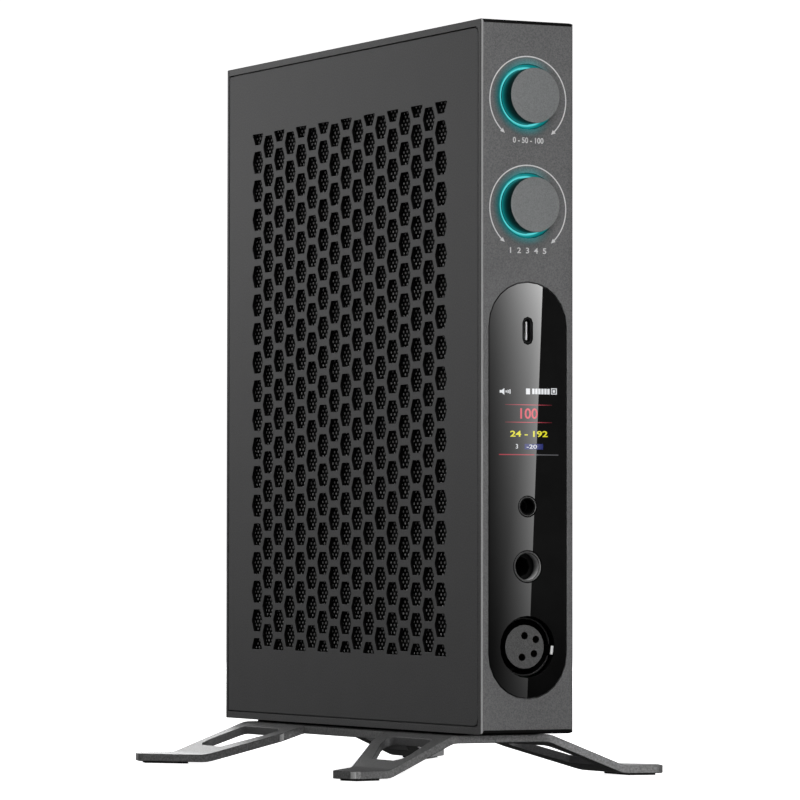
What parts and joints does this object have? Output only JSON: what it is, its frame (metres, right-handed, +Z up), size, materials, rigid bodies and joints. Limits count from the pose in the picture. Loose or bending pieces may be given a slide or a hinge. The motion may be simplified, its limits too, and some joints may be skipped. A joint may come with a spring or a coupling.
{
  "type": "desktop dac",
  "caption": "Slim upright desktop DAC and headphone amplifier with a vented side, lit turn-and-press knobs, screen, headphone sockets and a bent-plate stand.",
  "frame": {"origin": "on the table, under the middle of the bounding box", "axes": "+Z up, -Y out of the front panel, -X out of the vented side"},
  "size_m": [0.127, 0.2196, 0.2606],
  "materials": {
    "satin_aluminium": "grey, bead-blasted and anodised",
    "knob_aluminium": "grey, satin",
    "stand_steel": "dark grey, fine satin coat",
    "gloss_lens": "polished black",
    "light_guide": "lit teal",
    "bright_metal": "plated",
    "gold_plate": "plated",
    "black_plastic": "moulded",
    "black_steel": "black oxide",
    "grey_plastic": "moulded",
    "circuit_board": "solder mask",
    "dust_mesh": "fine black mesh",
    "rubber": "matt"
  },
  "bodies": {
    "case": {"main_shell": "satin_aluminium", "side_cover": "satin_aluminium", "dust_mesh": "dust_mesh", "rear_panel": "satin_aluminium", "front_lens": "gloss_lens", "display_module": "black_plastic", "front_board": "circuit_board", "volume_light_ring": "light_guide", "volume_encoder_housing": "bright_metal", "menu_light_ring": "light_guide", "menu_encoder_housing": "bright_metal", "front_usb_shell": "bright_metal", "front_usb_tongue": "black_plastic", "balanced_jack_ferrule": "bright_metal", "balanced_jack_body": "black_plastic", "headphone_jack_ferrule": "bright_metal", "headphone_jack_body": "black_plastic", "xlr_shell": "black_plastic", "xlr_insert": "grey_plastic", "amp_board": "circuit_board", "heat_sink": "satin_aluminium", "main_board": "circuit_board", "ladder_module_left": "bright_metal", "ladder_module_right": "bright_metal", "power_module": "black_plastic", "capacitor_upper": "black_plastic", "capacitor_lower": "black_plastic", "ribbon_cable": "grey_plastic", "line_out_left": "gold_plate", "line_out_right": "gold_plate", "line_in_left": "gold_plate", "line_in_right": "gold_plate", "coaxial_socket": "gold_plate", "optical_socket": "black_plastic", "rear_usb_shell": "bright_metal", "rear_usb_tongue": "black_plastic", "dc_inlet": "black_plastic", "rear_screw_1": "black_steel", "rear_screw_2": "black_steel", "rear_screw_3": "black_steel", "rear_screw_4": "black_steel", "stand_bracket": "stand_steel", "stand_gasket": "rubber", "stand_screw_front": "black_steel", "stand_screw_rear": "black_steel", "stand_pad_1": "rubber", "stand_pad_2": "rubber", "stand_pad_3": "rubber", "stand_pad_4": "rubber"},
    "volume_rotor": {"volume_encoder_rotor": "bright_metal"},
    "volume_control": {"volume_knob": "knob_aluminium", "volume_shaft": "bright_metal"},
    "menu_rotor": {"menu_encoder_rotor": "bright_metal"},
    "menu_control": {"menu_knob": "knob_aluminium", "menu_shaft": "bright_metal"},
    "latch": {"xlr_latch": "bright_metal"}
  },
  "joints": [
    {"name": "volume_turn", "type": "hinge", "parent": "case", "child": "volume_rotor", "pos_m": [0, -0.10435, 0.2344], "axis": [0, 1, 0], "continuous": true},
    {"name": "volume_press", "type": "slide", "parent": "volume_rotor", "child": "volume_control", "axis": [0, 1, 0], "range_m": [0, 0.0005], "stiffness_N_per_m": 3000, "springref_m": -0.001},
    {"name": "menu_turn", "type": "hinge", "parent": "case", "child": "menu_rotor", "pos_m": [0, -0.10435, 0.1969], "axis": [0, 1, 0], "continuous": true},
    {"name": "menu_press", "type": "slide", "parent": "menu_rotor", "child": "menu_control", "axis": [0, 1, 0], "range_m": [0, 0.0005], "stiffness_N_per_m": 3000, "springref_m": -0.001},
    {"name": "latch_press", "type": "slide", "parent": "case", "child": "latch", "axis": [0, 1, 0], "range_m": [0, 0.001], "stiffness_N_per_m": 800, "springref_m": -0.001}
  ]
}
